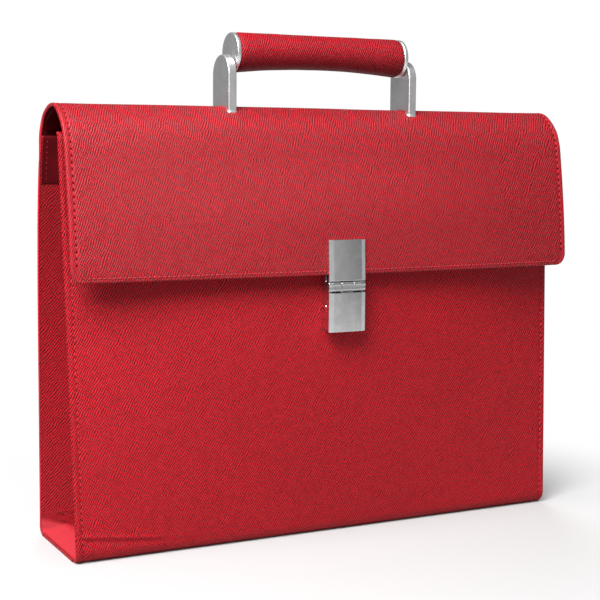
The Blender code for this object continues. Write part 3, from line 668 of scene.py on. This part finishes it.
def make_back_and_flap():
    stations = [("roll", t) for t in spaced(0, 1, 7)] + [("back", t) for t in spaced(0, 1, 60)[1:]]
    stations += [("crown", t) for t in spaced(0, 1, 49)[1:]] + [("flap", t) for t in hem_lines()[1:]]
    piece = skin("back_and_flap_leather", stations, across_lines(), back_place,
                 (FLAP_LEATHER, LINING, EDGE_PAINT), FLAP_SHELL, flap_relief)
    settle(piece)
    bend_y, bend_z = at(0, 13.5, 0).y, BEND_Z / 1000
    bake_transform(piece)
    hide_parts("back_panel", "flap_leather")

    lining_rows = [("crown", t) for t in spaced(0.26, 1, 40)] + [("flap", t) for t in hem_lines()[1:-8]]
    lining = skin("flap_lining_cloth", lining_rows, [c * 0.985 for c in across_lines()], back_place,
                  (FLAP_LINING, FLAP_LINING), 1.1, sink=FLAP_SHELL + 0.35)
    settle(lining)
    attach(lining, "flap")
    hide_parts("flap_lining")
    stitch_back_and_flap()


def stitch_back_and_flap():
    low = Stitching("back")
    high = Stitching("flap")
    for side in (-1, 1):
        edge = side * (1 - FLAP_INSET / SEAM_SPAN)
        low.row(traced(back_place, [(edge, ("back", t)) for t in spaced(0, 1, 120)], -0.3))
        spots = [(edge, ("crown", t)) for t in spaced(0.30, 1, 60)]
        spots += [(edge, ("flap", t)) for t in spaced(0.01, 1 - 12 / FLAP_DROP, 60)]
        high.row(traced(back_place, spots, -0.3), radius=0.30)
    spots = [(u, ("flap", 1 - HEM_INSET / FLAP_DROP)) for u in spaced(-0.955, 0.955, 160)]
    for left, right in ((0, 74), (86, 160)):
        high.row(traced(back_place, spots[left:right]), pitch=3.4, radius=0.42, holes=0.0, reach=0.36)
    low.finish("case")
    high.finish("flap")


# ------------------------------------------------------------------ the gussets
GUSSET_FOLD = 21.0            # how far the middle folds in
FACET_RISE = 15.0             # the fold grows to its full depth over this height
GUSSET_TOP = 289.2
GUSSET_SHELL = 1.6
GUSSET_GAP = 0.2
STAY_LOW, STAY_HIGH = 255.4, 289.4
STAY_SHARE = 0.93             # how much of the gusset's depth the patch covers
STAY_SHELL = 0.7


def gusset_ends(z):
    """Where the gusset meets the front's and the back's inner faces at a height."""
    x = half_width(z)
    front, back = front_y(x, z) + SHELL, back_y(x, z) - SHELL
    if z < FRONT_ROLL:
        inner = FRONT_ROLL - SHELL
        front = -(HALF_DEPTH - FRONT_ROLL + math.sqrt(max(inner ** 2 - (FRONT_ROLL - z) ** 2, 0.0)))
    if z < BACK_ROLL:
        inner = BACK_ROLL - SHELL
        back = HALF_DEPTH - BACK_ROLL + math.sqrt(max(inner ** 2 - (BACK_ROLL - z) ** 2, 0.0))
    return front + GUSSET_GAP, back - GUSSET_GAP


def soft_least(a, b, blur):
    """The smaller of two values, rounded off where they cross."""
    h = clamp(0.5 + 0.5 * (b - a) / blur)
    return b + (a - b) * h - blur * h * (1 - h)


def gusset_place(side):
    """A side's folded surface: a vee down its middle, a flat facet at its foot and puckers between them."""
    def place(u, station):
        z = station[1]
        front, back = gusset_ends(z)
        y = (front + back) / 2 + side * u * (back - front) / 2
        across = abs(u)
        vee = GUSSET_FOLD * (1 - math.sqrt(across ** 2 + 0.004)) * 1.03
        facet = 0.4 + max(z - SHELL, 0.0) * GUSSET_FOLD / FACET_RISE
        fold = soft_least(vee, facet, 2.4)
        pucker = math.exp(-((z - FACET_RISE - 4) / 7) ** 2) * (1 - across ** 2)
        fold += 2.4 * pucker * noise.noise(Vector((y / 5.5, z / 3.2, side * 4.0)))
        return side * (half_width(z) - 0.7 - max(fold, 0.0)), y, z
    return place


def gusset_relief(left, right, low, high, vert):
    wave = noise.noise(Vector((vert.co.y * 40, vert.co.z * 22, vert.co.x * 3)))
    return 0.4 * wave * smooth(min(left, right) / 12)


def make_gussets():
    heights = spaced(SHELL, 34, 34) + spaced(34, GUSSET_TOP, 60)[1:]
    columns = spaced(-1, 1, 45)
    for side, label in ((-1, "left"), (1, "right")):
        place = gusset_place(side)
        piece = skin(f"{label}_gusset_leather", [("gusset", z) for z in heights], columns, place,
                     (GUSSET_LEATHER, LINING, EDGE_PAINT), GUSSET_SHELL, gusset_relief)
        settle(piece)
        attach(piece, "case")
        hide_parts(f"{label}_gusset")

        def patch_place(u, station, inner=place, way=side):
            x, y, z = inner(u * STAY_SHARE, station)
            return x + way * (STAY_SHELL + 0.05), y, z

        def patch_relief(left, right, low, high, vert):
            return rounded_edge(min(left, right, low, high), STAY_SHELL)

        stay_rows = [("stay", z) for z in spaced(STAY_LOW, STAY_HIGH, 24)]
        # the stay patch's near-black leather is painted shade
        stay = skin(f"{label}_stay_patch", stay_rows, columns, patch_place,
                    (SHADED_STAY_LEATHER, SHADED_STAY_LEATHER, EDGE_PAINT), STAY_SHELL, patch_relief)
        settle(stay)
        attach(stay, "case")
        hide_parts(f"{label}_gusset_stay")
        stitches = Stitching(f"{label}_stay")
        for u in (-0.86, -0.42, 0.42, 0.86):
            spots = [(u, ("stay", z)) for z in spaced(STAY_LOW + 2.6, STAY_HIGH - 2.4, 20)]
            stitches.row(traced(patch_place, spots, 0.05), pitch=3.6, radius=0.22, holes=0.0, reach=0.14)
        stitches.finish("case")


# ------------------------------------------------------------------ metal parts
def outline_block(name, outline, low, high, material, bevel=0.6, segments=3):
    """An outline of (y, z) points pushed along X, with rounded edges."""
    bm = bmesh.new()
    face = bm.faces.new([bm.verts.new(at(low, y, z)) for y, z in outline])
    pushed = bmesh.ops.extrude_face_region(bm, geom=[face])["geom"]
    verts = [item for item in pushed if isinstance(item, bmesh.types.BMVert)]
    bmesh.ops.translate(bm, verts=verts, vec=Vector(((high - low) / 1000, 0, 0)))
    bmesh.ops.recalc_face_normals(bm, faces=bm.faces)
    obj = mesh_object(name, bm, material)
    return round_edges(obj, bevel, segments)


def round_edges(obj, width, segments=3, angle=35):
    edge = obj.modifiers.new("edges", "BEVEL")
    edge.width, edge.segments = width / 1000, segments
    edge.limit_method = "ANGLE"
    edge.angle_limit = math.radians(angle)
    edge.harden_normals = False
    settle(obj)
    obj.data.shade_smooth()
    crisp = obj.modifiers.new("crisp", "WEIGHTED_NORMAL")
    crisp.keep_sharp = True
    return settle(obj)


def turned(name, start, end, radius, material, bevel=0.5, segments=64):
    """A round piece between two points."""
    a, b = at(*start), at(*end)
    bm = bmesh.new()
    bmesh.ops.create_cone(bm, cap_ends=True, segments=segments, radius1=radius / 1000,
                          radius2=radius / 1000, depth=(b - a).length)
    turn = (b - a).to_track_quat("Z", "Y").to_matrix().to_4x4()
    bmesh.ops.transform(bm, verts=bm.verts, matrix=Matrix.Translation((a + b) / 2) @ turn)
    obj = mesh_object(name, bm, material)
    return round_edges(obj, bevel)


def arc(centre, radius, start, end, steps):
    angles = (math.radians(start + (end - start) * i / steps) for i in range(steps + 1))
    return [(centre[0] + radius * math.cos(a), centre[1] + radius * math.sin(a)) for a in angles]


CROWN_Y = -15.75              # the handle's middle plane, over the crown's highest line
POST_TOP = 347.5
POST_HALF = 14.0
POST_INNER, POST_OUTER = 70.6, 77.0
GRIP_Z = 349.3
GRIP_HALF = 66.5
GRIP_RADIUS = 14.3
GRIP_WAIST = 3.6
CAP_OUTER = 69.8
CAP_RADIUS = 14.0
GRIP_SHELL = 1.6
GRIP_SEAM = 0.83              # the wrap is sewn along the grip's lower back, in turns from the back


def crown_top(y):
    """Height of the finished leather at a depth on the crown."""
    best = min((along_curve(CROWN, t) for t in spaced(0, 1, 121)), key=lambda p: abs(p[0] - y))
    return best[1]


def make_handle_posts():
    for side, label in ((-1, "left"), (1, "right")):
        low, high = sorted((side * POST_INNER, side * POST_OUTER))
        foot = [(y, crown_top(y) - 0.4) for y in spaced(CROWN_Y - POST_HALF, CROWN_Y + POST_HALF, 17)]
        outline = arc((CROWN_Y, POST_TOP - POST_HALF), POST_HALF, 0, 180, 48) + foot
        post = outline_block(f"{label}_handle_post", outline, low, high, POST_METAL, 0.9, 4)
        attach(post, "flap")
        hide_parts(f"{label}_post")
        collar = make_collar(f"{label}_handle_collar", low, high)
        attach(collar, "flap")
        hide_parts(f"{label}_post_collar")


def make_collar(name, low, high):
    """A low foot that flares from the post down to the crown."""
    rings = ((0.0, 0.9), (0.2, 0.5), (0.55, 0.25), (1.0, 0.08))
    height = 1.8
    bm = bmesh.new()
    loops = []
    for rise, flare in rings:
        corner = 1.6 + flare
        ring = []
        for cx, cy, start in ((high, CROWN_Y + POST_HALF, 0), (low, CROWN_Y + POST_HALF, 90),
                              (low, CROWN_Y - POST_HALF, 180), (high, CROWN_Y - POST_HALF, 270)):
            sx, sy = (1 if cx == high else -1), (1 if cy > CROWN_Y else -1)
            for k in range(6):
                a = math.radians(start + 90 * k / 5)
                x = cx + sx * (flare - corner) + corner * math.cos(a)
                y = cy + sy * (flare - corner) + corner * math.sin(a)
                ring.append(bm.verts.new(at(x, y, crown_top(y) - 0.5 + height * rise)))
        loops.append(ring)
    for lower, upper in zip(loops, loops[1:]):
        for k in range(len(lower)):
            bm.faces.new((lower[k], lower[k - 1], upper[k - 1], upper[k]))
    bm.faces.new(loops[0])
    bm.faces.new(loops[-1])
    bmesh.ops.recalc_face_normals(bm, faces=bm.faces)
    return soften(mesh_object(name, bm, POST_METAL))


def grip_place(u, station):
    """The grip's waisted surface: u along it, and a station's share of a turn around it."""
    x, angle = u * (GRIP_HALF + 0.1), station[1] * math.tau
    share = max(1 - u ** 2, 0.0)
    down = GRIP_RADIUS - GRIP_WAIST * share
    across = GRIP_RADIUS - 0.3 * GRIP_WAIST * share
    c, s = math.cos(angle), math.sin(angle)
    return x, CROWN_Y + across * c, GRIP_Z + (GRIP_RADIUS + down) / 2 * s + (GRIP_RADIUS - down) / 2


def make_grip():
    around = [("grip", GRIP_SEAM - k / 72) for k in range(73)]

    def relief(left, right, low, high, vert):
        lift = rounded_edge(min(left, right), 1.1) - 0.12
        return lift + 0.12 * noise.noise(Vector((vert.co.x * 60, vert.co.y * 60, vert.co.z * 60)))

    piece = skin("grip_wrap", around, spaced(-1, 1, 61), grip_place, (GRIP_LEATHER, SHADED_STAY_LEATHER),
                 GRIP_SHELL, relief)
    settle(piece)
    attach(piece, "handle")
    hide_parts("grip_leather")
    stitches = Stitching("grip")
    for shift in (-0.014, 0.014):
        spots = [(u, ("grip", GRIP_SEAM + shift)) for u in spaced(-0.95, 0.95, 60)]
        path = [(p, (p - at(p.x * 1000, CROWN_Y, GRIP_Z)).normalized())
                for p, _ in traced(grip_place, spots)]
        stitches.row(path, pitch=3.6, radius=0.32, holes=0.0)
    stitches.finish("handle")
    for side, label in ((-1, "left"), (1, "right")):
        inner, outer = side * (GRIP_HALF + 0.15), side * CAP_OUTER
        cap = turned(f"{label}_grip_cap", (inner, CROWN_Y, GRIP_Z), (outer, CROWN_Y, GRIP_Z), CAP_RADIUS,
                     POST_METAL, 0.9, 96)
        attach(cap, "handle")
        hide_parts(f"{label}_end_cap")


# ------------------------------------------------------------------ the lock
LOCK_HALF = 14.8
LEVER_LOW = 152.2
PLATE_RISE = 25               # the upper plate stands this far above the hem
FACE_Y = -66.5
KNUCKLE = (-62.8, 184.5)
KNUCKLE_R = 3.7
PLATE_CROWN = 0.45
CHAMFER = 0.76                # the chamfers start this share of the way out from the middle
CHAMFER_DROP = 0.55
BAND_SHOULDER = 4.2
REED_PITCH = 1.5
REED_DEPTH = 0.30


def crowned_plate(name, low, high, back, lean, material):
    """A plate whose face is gently crowned across its width, with a chamfer down each side."""
    columns = spaced(-1, 1, 51)
    bm = bmesh.new()
    bmesh.ops.create_grid(bm, x_segments=len(columns) - 1, y_segments=1, size=1.0)
    for vert in bm.verts:
        share, rise = vert.co.x, (vert.co.y + 1) / 2
        chamfer = max(abs(share) - CHAMFER, 0.0) / (1 - CHAMFER)
        y = FACE_Y + PLATE_CROWN * share ** 2 + CHAMFER_DROP * chamfer + lean * rise
        vert.co = at(share * LOCK_HALF, y, low + (high - low) * rise)
    pushed = bmesh.ops.extrude_face_region(bm, geom=bm.faces[:])["geom"]
    for item in pushed:
        if isinstance(item, bmesh.types.BMVert):
            z = item.co.z * 1000
            item.co.y = at(0, back(z), 0).y
    bmesh.ops.recalc_face_normals(bm, faces=bm.faces)
    obj = mesh_object(name, bm, material)
    return round_edges(obj, 0.3, 3, 40)


def band_radius(angle, x):
    """The hinge band's section: a flat front with soft shoulders, round behind, reeded along its front."""
    turn = abs(angle)
    front = min((KNUCKLE_R - 0.02) / max(math.cos(turn), 0.2), BAND_SHOULDER)
    radius = front + (KNUCKLE_R - front) * smooth((turn - 1.45) / 0.4)
    share = abs(x) / LOCK_HALF
    slope = PLATE_CROWN * share ** 2 + CHAMFER_DROP * max(share - CHAMFER, 0.0) / (1 - CHAMFER)
    reeding = 0.5 - 0.5 * math.cos(math.tau * x / REED_PITCH)
    inside = smooth((CHAMFER - share) / 0.03) * smooth((0.50 - turn) / 0.10)
    return radius - REED_DEPTH * reeding * inside - slope * max(math.cos(angle), 0.0)


def hinge_band(name, low, high, material):
    """One knuckle of the band across the lock, with a chamfer where it meets the next."""
    rings = max(int((high - low) / 0.14), 8)
    bm = bmesh.new()
    bmesh.ops.create_cone(bm, cap_ends=True, segments=72, radius1=1, radius2=1, depth=2)
    lines = [e for e in bm.edges if abs(e.verts[0].co.z - e.verts[1].co.z) > 1]
    bmesh.ops.subdivide_edges(bm, edges=lines, cuts=rings - 1)
    for vert in bm.verts:
        x = low + (high - low) * (vert.co.z + 1) / 2
        angle = math.atan2(vert.co.y, vert.co.x)
        end = clamp(1 - min(x - low, high - x) / 0.12)
        radius = band_radius(angle, x) - 0.12 * end
        vert.co = at(x, KNUCKLE[0] - radius * math.cos(angle), KNUCKLE[1] + radius * math.sin(angle))
    bmesh.ops.recalc_face_normals(bm, faces=bm.faces)
    return soften(mesh_object(name, bm, material))


def bar(name, low, high, y_low, y_high, z_low, z_high, material, bevel=0.2):
    """A straight bar along X between two depths and two heights."""
    outline = ((y_low, z_low), (y_low, z_high), (y_high, z_high), (y_high, z_low))
    return outline_block(name, outline, low, high, material, bevel)


def make_lock():
    upper = crowned_plate("upper_plate_face", KNUCKLE[1] + BAND_SHOULDER + 0.1, HEM_Z + PLATE_RISE,
                          lambda z: flap_y(0, max(z, HEM_Z)) - 0.15, 1.2, PLATE_METAL)
    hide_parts("lock_upper_plate")
    lever = crowned_plate("hasp_plate_face", LEVER_LOW, KNUCKLE[1] - BAND_SHOULDER - 0.1,
                          lambda z: FACE_Y + 2.0, 0, PLATE_METAL)
    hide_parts("lock_lever")
    third = LOCK_HALF / 3
    gap = 0.05
    thirds = (("left", -LOCK_HALF + gap, -third - gap, "flap"), ("middle", -third + gap, third - gap, "hasp"),
              ("right", third + gap, LOCK_HALF - gap, "flap"))
    pieces = [(upper, "flap"), (lever, "hasp")]
    for label, low, high, body in thirds:
        pieces.append((hinge_band(f"{label}_band_knuckle", low, high, BAND_METAL), body))
        reach = (1.5, 6.0) if body == "flap" else (-6.0, -1.5)
        web = bar(f"{label}_band_web", low, high, FACE_Y + 1.75, KNUCKLE[0] + 0.5, KNUCKLE[1] + reach[0],
                  KNUCKLE[1] + reach[1], DARK_METAL)
        pieces.append((web, body))
    for piece, body in pieces:
        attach(piece, body)


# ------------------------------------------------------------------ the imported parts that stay
def dress_nodes():
    finishes = {
        BASE_LEATHER: ("bottom_panel",),
        LINING: ("front_lining", "back_lining", "bottom_lining", "divider", "inner_pocket"),
        FLAP_LINING: ("crown_stiffener",),
        BOARD: ("front_board", "back_board", "bottom_board"),
        CORE: ("grip_core",),
        BRIGHT_METAL: ("lock_receiver", "receiver_cross_pin"),
        DARK_METAL: ("handle_rail", "left_post_screw", "right_post_screw", "left_pivot_pin",
                     "right_pivot_pin", "lock_hinge_pin", "lock_backplate", "lock_screw_1", "lock_screw_2",
                     "lever_armature", "receiver_magnet", "receiver_backplate", "receiver_screw_1",
                     "receiver_screw_2"),
        WASHER: ("left_friction_washer", "right_friction_washer"),
    }
    for material, names in finishes.items():
        for name in names:
            mesh = NODES[name].data
            mesh.materials.clear()
            mesh.materials.append(material)


# ------------------------------------------------------------------ floor, light and camera
# how bright the room is at each bearing, in degrees from straight in front, right being positive
ROOM_BANDS = ((-90, 0.20), (270, 0.20), (-25, 0.38), (6, 0.52), (20, 0.40), (29, 0.30), (35, 0.17),
              (42, 0.18), (50, 0.50), (66, 0.36), (85, 0.14), (180, 0.22), (215, 0.30))
AIM_Z = 170
FLOOR_RADIUS = 1.05           # metres, as are the two distances where the floor starts and ends turning white
FLOOR_PLAIN, FLOOR_WHITE = 0.18, 0.40


def studio_world():
    """White behind the object; what lights and mirrors in it is a softer room with a few bands around it."""
    world = bpy.data.worlds.new("studio")
    bpy.context.scene.world = world
    world.use_nodes = True
    room = Graph(world.node_tree)
    direction = room.node("TexCoord", {}, output="Generated")
    round_about = room.node("TexGradient", {"gradient_type": "RADIAL"}, output="Fac", Vector=direction)
    stops = [(0.25 + bearing / 360, level) for bearing, level in ROOM_BANDS]
    bands = room.node("ValToRGB", {"stops": stops}, output="Color", Fac=round_about)
    seen = room.node("LightPath", {}, output="Is Camera Ray")
    background = room.tree.nodes["Background"].inputs
    join(room.tree, background["Color"], room.mix(seen, bands, (1.0, 1.0, 1.0)))
    join(room.tree, background["Strength"], 1.0)


def floor_finish():
    """Pale matt paper that turns into plain light towards the floor's rim, so that no horizon shows."""
    paper = Finish("pale_floor", (0.39, 0.39, 0.39), 0.9)
    across, along, _ = paper.split(paper.node("TexCoord", {}, output="Object"))
    reach = (across * across + along * along) ** 0.5
    light = paper.node("Emission", {})
    shown = paper.node("MixShader", {}, _0=reach.between(FLOOR_PLAIN, FLOOR_WHITE),
                       _1=Wire(paper.tree, paper.shader.outputs[0]), _2=light)
    join(paper.tree, paper.tree.nodes["Material Output"].inputs["Surface"], shown)
    return paper.material


def lamp(name, kind, size, energy, place, mirrored=True):
    """A lamp aimed at the object. size is metres across, or degrees for the sun."""
    shine = bpy.data.lights.new(name, kind)
    shine.energy = energy
    if kind == "SUN":
        shine.angle = math.radians(size)
    else:
        shine.shape, shine.size = "DISK", size
    light = bpy.data.objects.new(name, shine)
    bpy.context.scene.collection.objects.link(light)
    light.location = at(*place)
    light.visible_glossy = mirrored
    light.rotation_euler = (at(0, 0, AIM_Z) - light.location).to_track_quat("-Z", "Y").to_euler()


def make_stage():
    bm = bmesh.new()
    bmesh.ops.create_circle(bm, cap_ends=True, segments=96, radius=FLOOR_RADIUS)
    floor = mesh_object("floor", bm, floor_finish())
    studio_world()
    lamp("overhead", "SUN", 44, 2.7, (-500, -500, 1900))
    lamp("key", "AREA", 0.7, 31, (-700, -600, 1000))
    lamp("fill", "AREA", 0.8, 2.5, (-450, -1250, 100), mirrored=False)
    lamp("rear", "AREA", 1.0, 22, (500, 1300, 700), mirrored=False)


CAMERA_PLACE = (-473.25, -913.68, 285.09)
CAMERA_TURN, CAMERA_DIP, CAMERA_ROLL = -27.168, 6.489, 0.470
LENS_MM, SENSOR_MM = 82.22, 36.0


def make_camera():
    azimuth, pitch, roll = (math.radians(angle) for angle in (CAMERA_TURN, CAMERA_DIP, CAMERA_ROLL))
    ahead = Vector((-math.sin(azimuth) * math.cos(pitch), math.cos(azimuth) * math.cos(pitch),
                    -math.sin(pitch)))
    level = Vector((math.cos(azimuth), math.sin(azimuth), 0))
    over = level.cross(ahead)
    right = level * math.cos(roll) + over * math.sin(roll)
    up = over * math.cos(roll) - level * math.sin(roll)
    lens = bpy.data.cameras.new("camera")
    lens.lens, lens.sensor_width = LENS_MM, SENSOR_MM
    camera = bpy.data.objects.new("camera", lens)
    bpy.context.scene.collection.objects.link(camera)
    turn = Matrix((right, up, -ahead)).transposed().to_4x4()
    camera.matrix_world = Matrix.Translation(at(*CAMERA_PLACE)) @ turn
    bpy.context.scene.camera = camera


make_camera()
make_stage()
make_front()
make_back_and_flap()
make_gussets()
make_handle_posts()
make_grip()
make_lock()
dress_nodes()
bpy.context.scene.view_settings.view_transform = "Standard"
